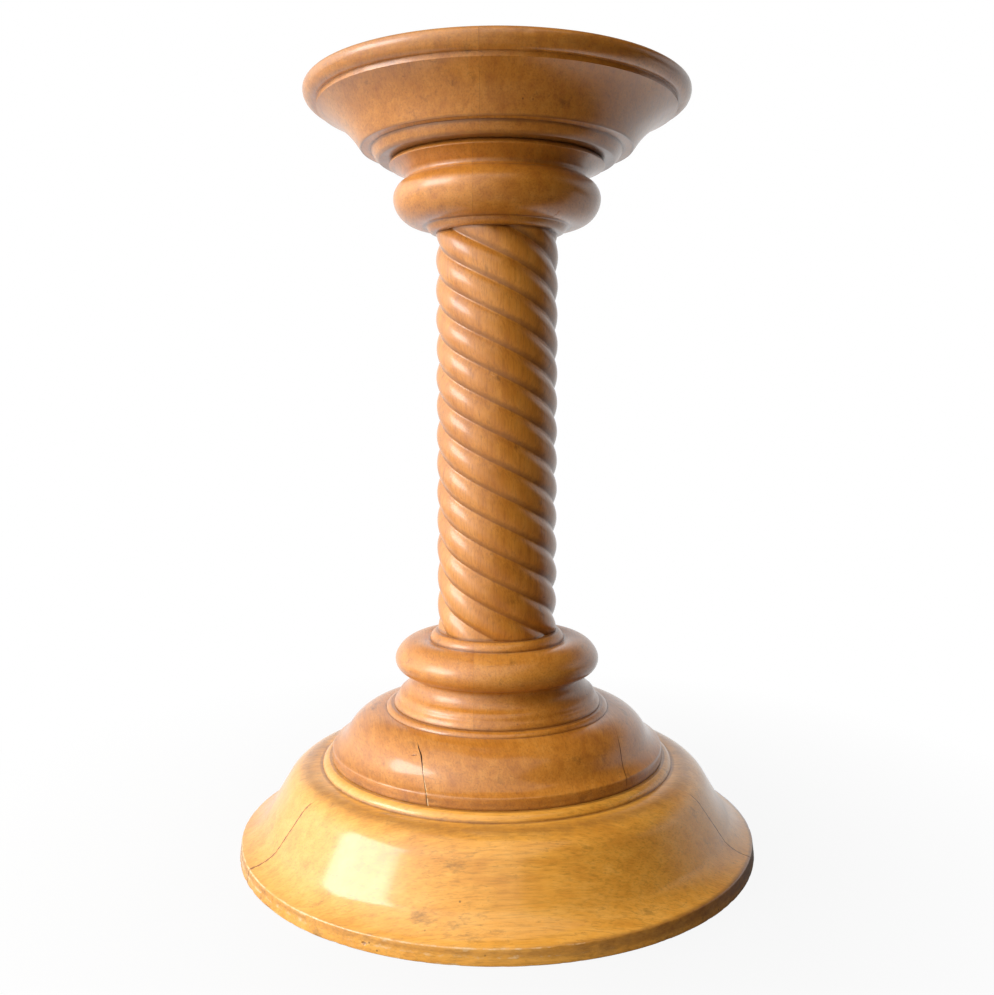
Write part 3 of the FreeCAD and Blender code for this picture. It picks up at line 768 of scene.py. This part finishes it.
def addWindow(name, light):
    away = towards(light["azimuth"], light["elevation"])
    data = bpy.data.lights.new(name, "AREA")
    data.shape = "RECTANGLE"
    data.size = light["width"]
    data.size_y = light["height"]
    data.energy = light["power"]
    lamp = bpy.data.objects.new(name, data)
    lamp.location = Vector(stage["aim"]) + away * light["distance"]
    lamp.rotation_euler = away.to_track_quat("Z", "Y").to_euler()
    bpy.context.scene.collection.objects.link(lamp)


def makeFloor():
    # the stand covers the hole, which keeps the floor off its underside
    bm = bmesh.new()
    bmesh.ops.create_circle(bm, cap_ends=False, radius=stage["floorHole"], segments=96)
    made = bmesh.ops.extrude_edge_only(bm, edges=bm.edges[:])["geom"]
    outer = [item for item in made if isinstance(item, bmesh.types.BMVert)]
    spread = stage["floorRadius"] / stage["floorHole"]
    bmesh.ops.scale(bm, vec=(spread, spread, 1), verts=outer)
    mesh = bpy.data.meshes.new("paleFloor")
    bm.to_mesh(mesh)
    bm.free()
    floor = bpy.data.objects.new("paleFloor", mesh)
    bpy.context.scene.collection.objects.link(floor)
    material = bpy.data.materials.new("palePaper")
    material.use_nodes = True
    tree = material.node_tree
    tree.nodes.clear()
    out = addNode(tree, "ShaderNodeOutputMaterial")
    place = addNode(tree, "ShaderNodeTexCoord").outputs["Object"]
    # painted light: paler towards the window and darker to the right, for the light that the floor bounces
    parts = addNode(tree, "ShaderNodeSeparateXYZ", inputs={"Vector": place}).outputs
    shade = ranged(tree, parts["X"], stage["floorPaintedLight"])
    paper = addNode(tree, "ShaderNodeBsdfPrincipled", inputs={"Base Color": shade, "Roughness": 0.4})
    white = addNode(tree, "ShaderNodeEmission", inputs={"Color": grey(1.0), "Strength": 1.0})
    rays = addNode(tree, "ShaderNodeLightPath").outputs
    behind = ranged(tree, parts["Y"], stage["floorBehind"])
    glossy = calc(tree, "MAXIMUM", rays["Is Glossy Ray"], rays["Is Transmission Ray"])
    seen = calc(tree, "MAXIMUM", rays["Is Camera Ray"], calc(tree, "MULTIPLY", glossy, behind))
    away = addNode(tree, "ShaderNodeVectorMath", {"operation": "LENGTH"}, {0: place}).outputs["Value"]
    fade = ranged(tree, away, stage["shadowFade"])
    mix = addNode(tree, "ShaderNodeMixShader", inputs={
        0: calc(tree, "MULTIPLY", seen, fade), 1: paper.outputs[0], 2: white.outputs[0]})
    tree.links.new(mix.outputs[0], out.inputs["Surface"])
    mesh.materials.append(material)


def makeRoom():
    # a pale room that is brightest to the left and dark to the right; seen directly it is white
    world = bpy.data.worlds.new("paleRoom")
    bpy.context.scene.world = world
    world.use_nodes = True
    tree = world.node_tree
    tree.nodes.clear()
    out = addNode(tree, "ShaderNodeOutputWorld")
    rays = addNode(tree, "ShaderNodeLightPath").outputs
    bright = stage["brightSide"]
    way = addNode(tree, "ShaderNodeTexCoord").outputs["Generated"]
    parts = addNode(tree, "ShaderNodeSeparateXYZ", inputs={"Vector": way}).outputs
    facing = addNode(tree, "ShaderNodeVectorMath", {"operation": "DOT_PRODUCT"}, {
        0: way, 1: towards(bright["azimuth"], bright["elevation"])}).outputs["Value"]
    level = addRamp(tree, ranged(tree, facing, (-1.0, 1.0, 0.0, 1.0)), stage["roomLight"])
    white = addNode(tree, "ShaderNodeBackground", inputs={"Color": grey(1.0), "Strength": 1.0})
    # gloss shows the white backdrop where it stands, behind the object, and it lights the edges a little
    reach = calc(tree, "ADD", parts["Y"], calc(tree, "MULTIPLY", parts["Z"], stage["backdropLean"]))
    behind = ranged(tree, reach, stage["backdropEdge"])
    behind = calc(tree, "MULTIPLY", behind, ranged(tree, parts["Z"], stage["backdropTop"]))
    glossy = calc(tree, "MAXIMUM", rays["Is Glossy Ray"], rays["Is Transmission Ray"])
    backdrop = calc(tree, "MULTIPLY", behind, calc(tree, "MAXIMUM", glossy, stage["backdropLight"]))
    lit = mixColour(tree, "LIGHTEN", 1.0, level, backdrop)
    room = addNode(tree, "ShaderNodeBackground", inputs={"Color": lit, "Strength": 1.0})
    mix = addNode(tree, "ShaderNodeMixShader", inputs={
        0: rays["Is Camera Ray"], 1: room.outputs[0], 2: white.outputs[0]})
    tree.links.new(mix.outputs[0], out.inputs["Surface"])


makeFloor()
makeRoom()
addWindow("leftWindow", stage["window"])
addWindow("skylight", stage["skylight"])

viewpoint = {
    "distance": 0.8594, "height": 0.3662, "tiltDown": 5.355,
    "sensor": 36.0, "focalPixels": 1049.4, "frameHeight": 995,
}


def placeCamera():
    data = bpy.data.cameras.new("standCamera")
    data.sensor_width = viewpoint["sensor"]
    data.lens = data.sensor_width * viewpoint["focalPixels"] / viewpoint["frameHeight"]
    camera = bpy.data.objects.new("standCamera", data)
    camera.location = (0, -viewpoint["distance"], viewpoint["height"])
    camera.rotation_euler = (math.radians(90 - viewpoint["tiltDown"]), 0, 0)
    bpy.context.scene.collection.objects.link(camera)
    bpy.context.scene.camera = camera


placeCamera()
bpy.context.scene.view_settings.view_transform = "Standard"
print("stage, lights and camera in place")
